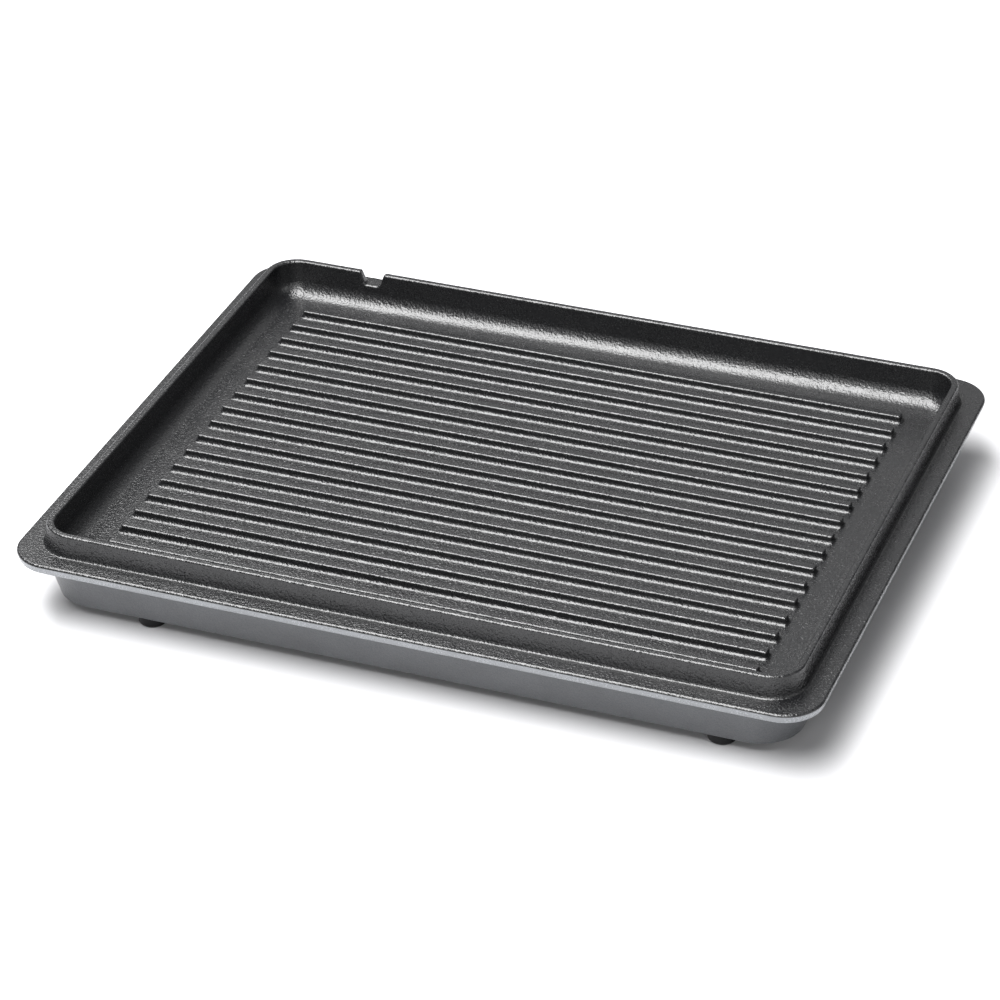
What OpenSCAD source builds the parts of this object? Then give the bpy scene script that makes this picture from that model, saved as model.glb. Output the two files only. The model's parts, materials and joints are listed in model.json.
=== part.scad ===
// Electric table-top hibachi grill.
// A ribbed cast plate with a raised rim, a flange round its middle and a
// hollow skirt below. The skirt hides the heating element, a heat reflector
// and the base cover, and four small feet hold it off the table.
// Millimetres. +Z up, origin on the table under the centre of the plate,
// -Y is the front and the pouring notch is in the rear rim.

/* [Plate] */
// Length of the plate over its flange
plate_w = 381; // [360:1:400]
// Depth of the plate over its flange, front to back
plate_d = 302; // [290:1:320]
// Height of the flange's top face above the table
flange_top = 33; // [32:0.5:34]
// Thickness of the flange
flange_t = 4.4; // [3.5:0.1:5]
// Corner radius of the flange
flange_r = 19; // [16:0.5:22]
// How far the rim rises above the flange
rim_h = 10.5; // [8:0.5:14]
// Width of the rim's top land
rim_land = 3.6; // [3:0.1:5]
// Distance from the flange edge in to the rim's outer top edge
rim_inset = 11.5; // [10:0.5:13]

/* [Cooking surface] */
// Depth of the flat channel floor below the rim's top
basin_depth = 17.6; // [15:0.1:18]
// Radius between the inner wall and the floor
basin_fillet = 8; // [6:0.5:9]
// Number of ribs
rib_count = 17; // [9:2:17]
// Distance from one rib to the next
rib_pitch = 14.25; // [13:0.05:14.5]
// Width of a rib across its top
rib_w = 4.5; // [3.5:0.1:5.5]
// Height of a rib above the floor
rib_h = 3.6; // [2.5:0.1:5]
// Length of a rib
rib_len = 310; // [280:1:316]
// Radius at the foot of a rib
rib_fillet = 1.8; // [1:0.1:2]

/* [Pouring notch] */
// Place of the notch along the rear rim
notch_x = -127; // [-140:1:140]
// Width of the notch at the rim's top
notch_w = 12.4; // [10:0.1:16]
// Width of the notch at its bottom, before its corners are rounded
notch_low = 7.8; // [6:0.1:9]
// Depth of the notch below the rim's top
notch_d = 6.9; // [5:0.1:8]

/* [Skirt] */
// Height of the skirt's bottom edge above the table
skirt_z = 6; // [5:0.5:7]
// Inset of the skirt's bottom edge from the flange edge
skirt_in_low = 13.4; // [12:0.1:14]
// Inset of the skirt where it meets the flange
skirt_in_high = 7; // [6:0.1:8]
// Wall thickness of the skirt
skirt_t = 4; // [3.5:0.1:4.5]

/* [Feet] */
// Diameter of a foot
foot_d = 14; // [12:0.5:16]
// Left feet, distance from the centre
foot_x_left = 127.5; // [120:0.5:135]
// Right feet, distance from the centre
foot_x_right = 144; // [140:0.5:150]
// Front and rear feet, distance from the centre
foot_y = 129.3; // [128:0.1:130]

/* [Heating element] */
// Diameter of the element's sheath
tube_d = 6.6; // [6:0.1:7]
// Radius of the element's bends along its centre line
bend_r = 22; // [20:1:22]
// Height of the element's centre line above the table
tube_z = 16.9; // [16.9:0.1:17]

/* [Hidden] */
$fn = 64;

hw = plate_w / 2;
hd = plate_d / 2;
rim_top = flange_top + rim_h;
floor_z = rim_top - basin_depth;           // top of the channel floor
floor_t = 4;
under_z = floor_z - floor_t;               // underside of the floor
flange_low = flange_top - flange_t;
inner_in = rim_inset + rim_land;           // inset of the inner wall at the rim's top
rim_c = inner_in + 12;                     // inset of the rim's corner centres
wall_top = inner_in + 0;                   // inner wall, top
wall_x = rim_c - inner_in;                 // inner wall radius at the top
floor_x = wall_x - 0.5;                    // inner wall radius at the floor, drafted
land_x = rim_c - rim_inset;                // outer rim radius at the top
base_x = land_x + 1.3;                     // outer rim radius at the flange, drafted
skirt_c = skirt_in_low + 20;               // inset of the skirt's corner centres
skirt_x0 = skirt_c - skirt_in_low;
skirt_x1 = skirt_c - skirt_in_high;
pin_x = 16;                                // half the spacing of the terminal pins
rib_c = 1;                                 // corner radius of a rib in plan

cover_z = 8;
cover_t = 1;
reflector_z = 11.2;
reflector_t = 0.6;
r_tube = tube_d / 2;

cover_pts = [[-158, 80], [158, 80], [-158, -80], [158, -80],
             [-70, 120], [70, 120], [-70, -120], [70, -120]];
reflector_pts = [[-50, 40], [50, 40], [-50, -65], [50, -65]];
// Clamps: place and turn. At 0 the clamp lies along X, across a leg that runs along Y.
clamp_pts = [[-128, -10, 0], [128, -10, 0], [-84, 12, 0], [84, 12, 0],
             [-60, -90, 90], [60, -90, 90]];
clamp_screw_x = 11.5;
foot_pts = [[-foot_x_left, -foot_y], [foot_x_right, -foot_y],
            [-foot_x_left, foot_y], [foot_x_right, foot_y]];

// ---- shared shapes ----

// Sweeps a profile round a rounded rectangle. The corner centres are at
// (+-cx, +-cy), the profile's x is the distance out from them, its y is height.
module sweep_round(cx, cy) {
    for (q = [[1, 1, 0], [-1, 1, 90], [-1, -1, 180], [1, -1, 270]])
        translate([q[0] * cx, q[1] * cy, 0]) rotate([0, 0, q[2]])
            rotate_extrude(angle = 90) children();
    translate([cx, cy, 0]) rotate([90, 0, 0]) linear_extrude(2 * cy) children();
    translate([-cx, -cy, 0]) rotate([0, 0, 180]) rotate([90, 0, 0]) linear_extrude(2 * cy) children();
    translate([-cx, cy, 0]) rotate([0, 0, 90]) rotate([90, 0, 0]) linear_extrude(2 * cx) children();
    translate([cx, -cy, 0]) rotate([0, 0, -90]) rotate([90, 0, 0]) linear_extrude(2 * cx) children();
}

// A block with a swept edge: the sweep and its middle.
module swept_block(cx, cy, z0, z1) {
    sweep_round(cx, cy) children();
    translate([-cx, -cy, z0]) cube([2 * cx, 2 * cy, z1 - z0]);
}

// A flat rounded rectangle.
module round_rect(w, d, r) {
    square([w - 2 * r, d], center = true);
    square([w, d - 2 * r], center = true);
    for (x = [-1, 1], y = [-1, 1])
        translate([x * (w / 2 - r), y * (d / 2 - r)]) circle(r);
}

// A slot with round ends, along X.
module slot(len, w) {
    square([len - w, w], center = true);
    for (x = [-1, 1]) translate([x * (len - w) / 2, 0]) circle(w / 2);
}

// A pan-head screw pointing up: head from z0 to z1, shank to z2.
module screw(x, y, z0, z1, z2, head_r, shank_r) {
    translate([x, y, 0]) difference() {
        union() {
            translate([0, 0, z0]) cylinder(r = head_r, h = z1 - z0);
            translate([0, 0, z1]) cylinder(r = shank_r, h = z2 - z1);
        }
        for (a = [0, 90]) translate([0, 0, z0]) rotate([0, 0, a])
            cube([head_r * 1.1, 0.8, 1.6], center = true);
    }
}

// ---- cast plate ----

module flange_profile() {
    e = 1.2;
    polygon([[0, flange_low], [flange_r - 0.8, flange_low], [flange_r, flange_top - e],
             [flange_r - e, flange_top - e], [flange_r - e, flange_top], [0, flange_top]]);
    translate([flange_r - e, flange_top - e]) intersection() {
        circle(e);
        square(e);
    }
}

module rim_profile() {
    e = 1;
    f = 1.2;
    polygon([[0, flange_low], [base_x, flange_low], [base_x, flange_top],
             [land_x, rim_top - e], [land_x - e, rim_top - e], [land_x - e, rim_top], [0, rim_top]]);
    translate([land_x - e, rim_top - e]) intersection() {
        circle(e);
        square(e);
    }
    difference() {
        translate([base_x - 0.2, flange_top - 0.1]) square([f + 0.2, f + 0.1]);
        translate([base_x + f, flange_top + f]) circle(f);
    }
}

module basin_profile() {
    f = basin_fillet;
    e = 1;
    polygon([[0, floor_z], [floor_x - f, floor_z], [floor_x - f, floor_z + f],
             [floor_x, floor_z + f], [wall_x, rim_top - e], [wall_x, rim_top + 1], [0, rim_top + 1]]);
    translate([floor_x - f, floor_z + f]) intersection() {
        circle(f);
        translate([0, -f]) square(f);
    }
    // rounds the rim's inner top edge
    difference() {
        translate([wall_x - 0.1, rim_top - e]) square([e + 0.1, e + 1]);
        translate([wall_x + e, rim_top - e]) circle(e);
        translate([wall_x + e, rim_top - e]) square([1, 0.1]);
    }
}

module skirt_profile(inset, z0, z1) {
    slope = (skirt_x1 - skirt_x0) / (flange_low - skirt_z);
    polygon([[0, z0], [skirt_x0 - inset + slope * (z0 - skirt_z), z0],
             [skirt_x0 - inset + slope * (z1 - skirt_z), z1], [0, z1]]);
}

// The hollow under the floor: it runs up beside the basin, so the wall stays even.
module cavity_profile() {
    slope = (skirt_x1 - skirt_x0) / (flange_low - skirt_z);
    zt = under_z + 4.6;
    polygon([[0, skirt_z - 1], [skirt_x0 - skirt_t - slope, skirt_z - 1],
             [skirt_x0 - skirt_t + slope * (zt - skirt_z), zt], [skirt_c - 13, zt],
             [skirt_c - 20, under_z], [0, under_z]]);
}

// Half of a rib's section: x is the distance out from its corner centres.
module rib_profile() {
    e = 0.8;
    f = rib_fillet;
    top = floor_z + rib_h;
    translate([0, floor_z - 0.5]) square([rib_c, rib_h + 0.5 - e]);
    translate([0, floor_z]) square([rib_c - e, rib_h]);
    translate([rib_c - e, top - e]) intersection() {
        circle(e);
        square(e);
    }
    difference() {
        translate([rib_c - 0.1, floor_z - 0.5]) square([f + 0.1, f + 0.5]);
        translate([rib_c + f, floor_z + f]) circle(f);
    }
}

module notch_profile() {
    r = 2;
    a = atan((notch_w - notch_low) / 2 / notch_d);   // lean of the sides
    z0 = rim_top - notch_d;
    cx = notch_low / 2 - r * (1 - sin(a)) / cos(a);
    tx = cx + r * cos(a);
    tz = z0 + r * (1 - sin(a));
    for (s = [-1, 1]) translate([s * cx, z0 + r]) circle(r);
    polygon([[-cx, z0], [cx, z0], [tx, tz], [notch_w / 2, rim_top], [notch_w / 2 + 2 * tan(a), rim_top + 2],
             [-notch_w / 2 - 2 * tan(a), rim_top + 2], [-notch_w / 2, rim_top], [-tx, tz]]);
}

module grill_plate() {
    color([0.16, 0.17, 0.175]) difference() {
        union() {
            difference() {
                union() {
                    swept_block(hw - flange_r, hd - flange_r, flange_low, flange_top) flange_profile();
                    swept_block(hw - rim_c, hd - rim_c, flange_low, rim_top) rim_profile();
                    swept_block(hw - skirt_c, hd - skirt_c, skirt_z, flange_low + 1)
                        skirt_profile(0, skirt_z, flange_low + 1);
                }
                swept_block(hw - rim_c, hd - rim_c, floor_z, rim_top + 1) basin_profile();
                swept_block(hw - skirt_c, hd - skirt_c, skirt_z - 1, under_z) cavity_profile();
            }
            // ribs on the cooking floor
            for (i = [0:rib_count - 1])
                translate([0, (i - (rib_count - 1) / 2) * rib_pitch, 0])
                    swept_block(rib_len / 2 - rib_c, rib_w / 2 - rib_c, floor_z - 0.5, floor_z + rib_h) rib_profile();
            // bosses for the feet
            for (p = foot_pts) translate([p[0], p[1], skirt_z]) cylinder(r = 7, h = floor_z - skirt_z - 0.4);
            // posts for the base cover
            for (p = cover_pts) translate([p[0], p[1], cover_z + cover_t])
                cylinder(r = 5, h = under_z - cover_z - cover_t + 1);
            // pads for the reflector's spacers
            for (p = reflector_pts) translate([p[0], p[1], under_z - 3]) cylinder(r = 6, h = 4);
            // cradles for the element
            for (c = clamp_pts) translate([c[0], c[1], 0]) rotate([0, 0, c[2]])
                translate([-17, -6, tube_z]) cube([34, 12, under_z - tube_z + 1]);
            // boss round the control's probe well
            translate([-6, 64, 12.4]) cube([12, 55.4, under_z - 12.4 + 1]);
            // bosses for the socket's screws
            for (s = [-1, 1]) translate([s * 31, 125, under_z - 0.1]) cylinder(r = 4.5, h = 1);
        }
        // pouring notch
        translate([notch_x, hd - 3, 0]) rotate([90, 0, 0]) linear_extrude(20) notch_profile();
        // window for the socket
        translate([-25, 128, 11.9]) cube([50, 24, under_z - 11.9]);
        // bores
        for (p = foot_pts) translate([p[0], p[1], skirt_z - 1]) cylinder(r = 2, h = 12);
        for (p = cover_pts) translate([p[0], p[1], cover_z]) cylinder(r = 1.5, h = 12);
        for (p = reflector_pts) translate([p[0], p[1], under_z - 4]) cylinder(r = 1.8, h = 5.5);
        for (c = clamp_pts) translate([c[0], c[1], 0]) rotate([0, 0, c[2]]) {
            for (s = [-1, 1]) translate([s * clamp_screw_x, 0, tube_z - 1]) cylinder(r = 1.8, h = 7.5);
            translate([0, 10, tube_z]) rotate([90, 0, 0]) cylinder(r = r_tube + 0.1, h = 20);
        }
        translate([0, 120, tube_z]) rotate([90, 0, 0]) cylinder(r = 3.2, h = 52);
        for (s = [-1, 1]) translate([s * 31, 125, under_z - 1]) cylinder(r = 1.55, h = 3.6);
        translate([10, 110, under_z - 1]) cylinder(r = 1.55, h = 3.6);
    }
}

// ---- heating element ----

// Straight leg of the element between two points
module leg(a, b) {
    d = b - a;
    translate([a[0], a[1], tube_z]) rotate([0, 0, atan2(d[1], d[0])]) rotate([0, 90, 0])
        cylinder(r = r_tube, h = norm(d));
}

// Bend of the element round a centre, from one angle over a sweep
module bend(c, a0, sweep) {
    translate([c[0], c[1], tube_z]) rotate([0, 0, a0])
        rotate_extrude(angle = sweep) translate([bend_r, 0]) circle(r_tube);
}

module heating_element() {
    b = bend_r;
    color([0.36, 0.37, 0.36]) {
        for (m = [0, 1]) mirror([m, 0, 0]) {
            leg([-pin_x, 112], [-pin_x, -18]);
            bend([-pin_x - b, -18], 270, 90);
            leg([-pin_x - b, -18 - b], [-84 + b, -18 - b]);
            bend([-84 + b, -18], 180, 90);
            leg([-84, -18], [-84, 60]);
            bend([-84 - b, 60], 0, 180);
            leg([-84 - 2 * b, 60], [-84 - 2 * b, -90 + b]);
            bend([-84 - b, -90 + b], 180, 90);
        }
        leg([-84 - b, -90], [84 + b, -90]);
    }
}

module terminal_pins() {
    color([0.82, 0.82, 0.8]) for (s = [-1, 1]) translate([s * pin_x, 0, tube_z]) rotate([-90, 0, 0]) {
        translate([0, 0, 112]) cylinder(r = 2.4, h = 24);
        translate([0, 0, 136]) cylinder(r1 = 2.4, r2 = 1.4, h = 1.5);
    }
}

module terminal_insulators() {
    color([0.93, 0.9, 0.84]) for (s = [-1, 1]) translate([s * pin_x, 0, tube_z]) rotate([-90, 0, 0])
        translate([0, 0, 112]) difference() {
            union() {
                cylinder(r = 4.3, h = 4.5);
                cylinder(r = 3.5, h = 7.8);
            }
            translate([0, 0, -1]) cylinder(r = 2.45, h = 10);
        }
}

module element_clamps() {
    t = 1;
    ri = r_tube + 0.05;
    color([0.72, 0.73, 0.74]) for (c = clamp_pts) translate([c[0], c[1], 0]) rotate([0, 0, c[2]])
        translate([0, 5, tube_z]) rotate([90, 0, 0]) difference() {
            linear_extrude(10) difference() {
                union() {
                    circle(ri + t);
                    translate([-16, -t]) square([32, t]);
                }
                circle(ri);
                translate([-20, 0]) square([40, 20]);
            }
            for (s = [-1, 1]) translate([s * clamp_screw_x, 0, 5]) rotate([90, 0, 0])
                translate([0, 0, -1]) cylinder(r = 2, h = 3);
        }
}

module clamp_screws() {
    color([0.75, 0.75, 0.74]) for (c = clamp_pts, s = [-1, 1])
        screw(c[0] + s * clamp_screw_x * cos(c[2]), c[1] + s * clamp_screw_x * sin(c[2]),
              tube_z - 3, tube_z - 1, tube_z + 6, 3.2, 1.75);
}

// ---- reflector ----

module heat_reflector() {
    w = 292;
    d = 216;
    r = 12;
    t = reflector_t;
    z = reflector_z;
    color([0.8, 0.8, 0.78]) difference() {
        union() {
            translate([0, 0, z]) linear_extrude(t) round_rect(w, d, r);
            translate([0, 0, z]) linear_extrude(4) difference() {
                round_rect(w, d, r);
                round_rect(w - 2 * t, d - 2 * t, r - t);
            }
        }
        // opening round the element's ends and the probe well
        translate([-40, d / 2 - 8, z - 1]) cube([80, 20, 8]);
        for (p = reflector_pts) translate([p[0], p[1], z - 1]) cylinder(r = 2, h = 3);
        // cooling holes
        for (x = [-100, 0, 100], y = [-12, 12]) translate([x, y, z - 1]) cylinder(r = 3, h = 3);
    }
}

module reflector_spacers() {
    z = reflector_z + reflector_t;
    color([0.75, 0.75, 0.74]) for (p = reflector_pts) translate([p[0], p[1], z]) difference() {
        cylinder(r = 4, h = under_z - 3 - z);
        translate([0, 0, -1]) cylinder(r = 2, h = 20);
    }
}

module reflector_screws() {
    color([0.75, 0.75, 0.74]) for (p = reflector_pts)
        screw(p[0], p[1], reflector_z - 1.7, reflector_z, under_z + 1, 3.4, 1.75);
}

// ---- base cover ----

module base_cover() {
    c = skirt_c;
    x = 15.9;
    color([0.2, 0.2, 0.205]) difference() {
        union() {
            swept_block(hw - c, hd - c, cover_z, cover_z + cover_t)
                translate([0, cover_z]) square([x, cover_t]);
            sweep_round(hw - c, hd - c)
                translate([x - 1, cover_z]) square([1, 3.4]);
        }
        // clear of the foot bosses
        for (p = foot_pts) translate([p[0], p[1], cover_z - 1]) cylinder(r = 8, h = 6);
        for (p = cover_pts) translate([p[0], p[1], cover_z - 1]) cylinder(r = 2, h = 3);
        // two banks of air slots
        for (s = [-1, 1], i = [-3:3]) translate([s * 88, i * 14, cover_z - 1])
            linear_extrude(3) slot(64, 3.4);
    }
}

module cover_screws() {
    color([0.75, 0.75, 0.74]) for (p = cover_pts)
        screw(p[0], p[1], cover_z - 2, cover_z, cover_z + 11, 3.3, 1.45);
}

// ---- socket ----

module socket_housing() {
    z0 = 12;
    z1 = under_z - 0.1;
    color([0.07, 0.07, 0.075]) difference() {
        union() {
            translate([-24.8, 120, z0]) cube([49.6, 20, z1 - z0]);
            translate([-36, 120, z1 - 5]) cube([72, 9, 5]);
        }
        // recess for the control's nose
        translate([-21, 126, z0 + 1.8]) cube([42, 20, z1 - z0 - 3.6]);
        // pins, probe and earth contact
        for (s = [-1, 1]) translate([s * pin_x, 119, tube_z]) rotate([-90, 0, 0]) cylinder(r = 2.5, h = 10);
        translate([0, 119, tube_z]) rotate([-90, 0, 0]) cylinder(r = 3.5, h = 10);
        translate([6.5, 119, z1 - 2.9]) cube([7, 10, 1.1]);
        for (s = [-1, 1]) translate([s * 31, 125, z1 - 6]) cylinder(r = 1.9, h = 8);
    }
}

module socket_screws() {
    z1 = under_z - 0.1;
    color([0.75, 0.75, 0.74]) for (s = [-1, 1])
        screw(s * 31, 125, z1 - 7, z1 - 5, under_z + 2.4, 3.1, 1.5);
}

module earth_contact() {
    z1 = under_z - 0.1;
    color([0.85, 0.74, 0.42]) difference() {
        translate([7, 0, 0]) rotate([90, 0, 90]) linear_extrude(6)
            polygon([[105, under_z - 0.8], [117.2, under_z - 0.8], [117.2, z1 - 2.8], [137, z1 - 2.8],
                     [137, z1 - 2], [118, z1 - 2], [118, under_z], [105, under_z]]);
        translate([10, 110, under_z - 2]) cylinder(r = 1.7, h = 4);
    }
}

module earth_screw() {
    color([0.75, 0.75, 0.74]) screw(10, 110, under_z - 2.6, under_z - 0.8, under_z + 2.4, 2.8, 1.5);
}

// ---- feet ----

module foot(p) {
    r = foot_d / 2;
    e = 1.8;
    color([0.04, 0.04, 0.045]) translate([p[0], p[1], 0]) rotate_extrude() difference() {
        union() {
            translate([2.2, 0]) square([r - e - 2.2, skirt_z]);
            translate([2.2, e]) square([r - 2.2, skirt_z - e]);
            translate([r - e, e]) circle(e);
        }
        translate([0, -1]) square([4.2, 4.2]);
    }
}

module foot_front_left() { foot(foot_pts[0]); }
module foot_front_right() { foot(foot_pts[1]); }
module foot_rear_left() { foot(foot_pts[2]); }
module foot_rear_right() { foot(foot_pts[3]); }

module foot_washers() {
    color([0.75, 0.75, 0.74]) for (p = foot_pts) translate([p[0], p[1], 2.5]) difference() {
        cylinder(r = 4, h = 0.7);
        translate([0, 0, -1]) cylinder(r = 2.1, h = 3);
    }
}

module foot_screws() {
    color([0.75, 0.75, 0.74]) for (p = foot_pts)
        screw(p[0], p[1], 0.7, 2.5, 16, 3.4, 1.95);
}

grill_plate();
heating_element();
terminal_pins();
terminal_insulators();
element_clamps();
clamp_screws();
heat_reflector();
reflector_spacers();
reflector_screws();
base_cover();
cover_screws();
socket_housing();
socket_screws();
earth_contact();
earth_screw();
foot_front_left();
foot_front_right();
foot_rear_left();
foot_rear_right();
foot_screws();
foot_washers();
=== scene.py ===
import json
import math

import bpy
import numpy as np
from mathutils import Matrix, Vector
from mathutils.geometry import delaunay_2d_cdt

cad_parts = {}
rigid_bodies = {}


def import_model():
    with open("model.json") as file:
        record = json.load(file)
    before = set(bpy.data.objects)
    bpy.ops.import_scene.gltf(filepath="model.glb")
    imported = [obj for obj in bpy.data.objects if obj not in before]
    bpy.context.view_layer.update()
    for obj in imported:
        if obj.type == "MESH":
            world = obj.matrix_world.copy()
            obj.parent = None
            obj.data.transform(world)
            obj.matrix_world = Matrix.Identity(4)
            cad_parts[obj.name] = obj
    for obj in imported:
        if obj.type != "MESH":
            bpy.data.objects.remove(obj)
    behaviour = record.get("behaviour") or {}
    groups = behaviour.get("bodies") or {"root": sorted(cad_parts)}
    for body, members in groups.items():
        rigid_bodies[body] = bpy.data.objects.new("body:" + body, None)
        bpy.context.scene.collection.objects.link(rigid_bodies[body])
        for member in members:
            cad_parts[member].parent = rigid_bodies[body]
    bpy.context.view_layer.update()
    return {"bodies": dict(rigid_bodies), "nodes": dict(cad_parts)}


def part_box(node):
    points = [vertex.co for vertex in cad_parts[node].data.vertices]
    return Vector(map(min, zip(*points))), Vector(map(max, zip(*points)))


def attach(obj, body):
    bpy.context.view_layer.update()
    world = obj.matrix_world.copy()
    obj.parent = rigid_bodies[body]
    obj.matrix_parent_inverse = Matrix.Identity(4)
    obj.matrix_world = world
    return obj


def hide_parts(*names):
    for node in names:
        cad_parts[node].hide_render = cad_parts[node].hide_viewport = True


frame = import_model()
nodes = frame["nodes"]
scene = bpy.context.scene
scene.view_settings.view_transform = "Standard"
scene.view_settings.look = "None"

MM = 0.001
plate_lo, plate_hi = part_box("grill_plate")
HW, HD = plate_hi.x / MM, plate_hi.y / MM
RIM_TOP = plate_hi.z / MM
FLANGE_TOP = RIM_TOP - 10.5
FLANGE_LOW = FLANGE_TOP - 4.4
FLOOR_Z = RIM_TOP - 17.6
UNDER_Z = FLOOR_Z - 4
SKIRT_Z = plate_lo.z / MM
TUBE_Z = 16.9
RIM_C = 27.1
SKIRT_C = 33.4
FLANGE_R = 19.0
NOTCH_X = -127.0
BODY = sorted(frame["bodies"])[0]


# ------------------------------------------------------------------ materials

def new_material(name):
    m = bpy.data.materials.new(name)
    m.use_nodes = True
    return m, m.node_tree, m.node_tree.nodes["Principled BSDF"]


def add(nt, kind, **values):
    n = nt.nodes.new(kind)
    for k, v in values.items():
        if k in n.inputs:
            n.inputs[k].default_value = v
        else:
            setattr(n, k, v)
    return n


def noise(nt, vec, scale, detail=2.0, rough=0.5, distortion=0.0):
    n = nt.nodes.new("ShaderNodeTexNoise")
    n.inputs["Scale"].default_value = scale
    n.inputs["Detail"].default_value = detail
    n.inputs["Roughness"].default_value = rough
    n.inputs["Distortion"].default_value = distortion
    nt.links.new(vec, n.inputs["Vector"])
    return n.outputs["Fac"]


def voronoi(nt, vec, scale, feature="F1", rand=1.0):
    n = nt.nodes.new("ShaderNodeTexVoronoi")
    n.feature = feature
    n.inputs["Scale"].default_value = scale
    n.inputs["Randomness"].default_value = rand
    nt.links.new(vec, n.inputs["Vector"])
    return n.outputs["Distance"]


def ramp(nt, fac, stops):
    n = nt.nodes.new("ShaderNodeValToRGB")
    els = n.color_ramp.elements
    while len(els) < len(stops):
        els.new(0.5)
    for e, (p, c) in zip(els, stops):
        e.position = p
        e.color = (c[0], c[1], c[2], 1) if isinstance(c, (tuple, list)) else (c, c, c, 1)
    nt.links.new(fac, n.inputs["Fac"])
    return n.outputs["Color"]


def map_range(nt, val, a, b, c, d):
    n = nt.nodes.new("ShaderNodeMapRange")
    for k, v in zip(("From Min", "From Max", "To Min", "To Max"), (a, b, c, d)):
        n.inputs[k].default_value = v
    nt.links.new(val, n.inputs["Value"])
    return n.outputs["Result"]


def math_node(nt, op, a, b):
    n = nt.nodes.new("ShaderNodeMath")
    n.operation = op
    for i, v in enumerate((a, b)):
        if isinstance(v, (int, float)):
            n.inputs[i].default_value = v
        else:
            nt.links.new(v, n.inputs[i])
    return n.outputs["Value"]


def mix_color(nt, fac, a, b, mode="MIX"):
    n = nt.nodes.new("ShaderNodeMix")
    n.data_type = "RGBA"
    n.blend_type = mode
    for sock, v in ((n.inputs["Factor"], fac), (n.inputs[6], a), (n.inputs[7], b)):
        if isinstance(v, (int, float)):
            sock.default_value = v
        elif isinstance(v, (tuple, list)):
            sock.default_value = (v[0], v[1], v[2], 1)
        else:
            nt.links.new(v, sock)
    return n.outputs[2]


def object_coords(nt, scale=(1, 1, 1), rot=(0, 0, 0)):
    t = nt.nodes.new("ShaderNodeTexCoord")
    m = nt.nodes.new("ShaderNodeMapping")
    m.inputs["Scale"].default_value = scale
    m.inputs["Rotation"].default_value = rot
    nt.links.new(t.outputs["Object"], m.inputs["Vector"])
    return m.outputs["Vector"]


def bump(nt, bsdf, height, strength, distance, normal=None):
    n = nt.nodes.new("ShaderNodeBump")
    n.inputs["Strength"].default_value = strength
    n.inputs["Distance"].default_value = distance
    nt.links.new(height, n.inputs["Height"])
    if normal is not None:
        nt.links.new(normal, n.inputs["Normal"])
    if bsdf is not None:
        nt.links.new(n.outputs["Normal"], bsdf.inputs["Normal"])
    return n.outputs["Normal"]


def cast_material():
    """Dark non-stick coating over a sand-grained casting: pebbly grain, fine flecks, slight tone drift."""
    m, nt, b = new_material("cast_plate_coating")
    vec = object_coords(nt)
    pebble = voronoi(nt, vec, 800, "SMOOTH_F1")
    fine = noise(nt, vec, 1150, 2.0, 0.55)
    broad = noise(nt, vec, 14, 3.0, 0.55)
    speck = noise(nt, vec, 2300, 1.0, 0.5)
    wear = noise(nt, vec, 60, 4.0, 0.6)
    base = ramp(nt, fine, [(0.30, (0.003, 0.003, 0.0034)), (0.72, (0.0075, 0.0078, 0.0085))])
    tone = ramp(nt, broad, [(0.3, 0.82), (0.7, 1.12)])
    base = mix_color(nt, 1.0, base, tone, "MULTIPLY")
    flecks = ramp(nt, speck, [(0.66, 0.0), (0.74, 1.0)])
    base = mix_color(nt, math_node(nt, "MULTIPLY", flecks, 0.25), base, (0.06, 0.063, 0.066))
    r = map_range(nt, fine, 0.3, 0.7, CAST["rough_lo"], CAST["rough_hi"])
    r2 = map_range(nt, wear, 0.3, 0.7, -0.04, 0.04)
    rough = math_node(nt, "ADD", r, r2)
    # the flange's edge is trimmed after coating, and below it the casting is plain satin grey
    trim, under = trimmed_edge(nt)
    trim = math_node(nt, "MULTIPLY", trim, map_range(nt, wear, 0.25, 0.6, 0.75, 1.0))
    blast = noise(nt, vec, 2600, 2.0, 0.6)
    cloud = noise(nt, vec, 35, 4.0, 0.6)
    grey = mix_color(nt, map_range(nt, blast, 0.3, 0.7, 0, 1), (0.040, 0.042, 0.045), (0.085, 0.089, 0.095))
    grey = mix_color(nt, 1.0, grey, ramp(nt, cloud, [(0.3, 0.85), (0.7, 1.12)]), "MULTIPLY")
    base = mix_color(nt, under, base, grey)
    nt.links.new(mix_color(nt, trim, base, (0.23, 0.24, 0.25)), b.inputs["Base Color"])
    nt.links.new(math_node(nt, "MULTIPLY", trim, 0.3), b.inputs["Metallic"])
    rough = math_node(nt, "ADD", rough, math_node(nt, "MULTIPLY", under, 0.14))
    nt.links.new(rough, b.inputs["Roughness"])
    b.inputs["Specular IOR Level"].default_value = CAST["spec"]
    b.inputs["IOR"].default_value = 1.5
    h = math_node(nt, "ADD", math_node(nt, "MULTIPLY", pebble, -0.6), math_node(nt, "MULTIPLY", fine, 0.9))
    calm = math_node(nt, "MAXIMUM", math_node(nt, "MULTIPLY", trim, 0.9), math_node(nt, "MULTIPLY", under, 0.6))
    h = math_node(nt, "MULTIPLY", h, map_range(nt, calm, 0, 1, 1.0, 0.0))
    h = math_node(nt, "ADD", h, math_node(nt, "MULTIPLY", blast, 0.08))
    bump(nt, b, h, CAST["bump"], CAST["distance"])
    return m


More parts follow.
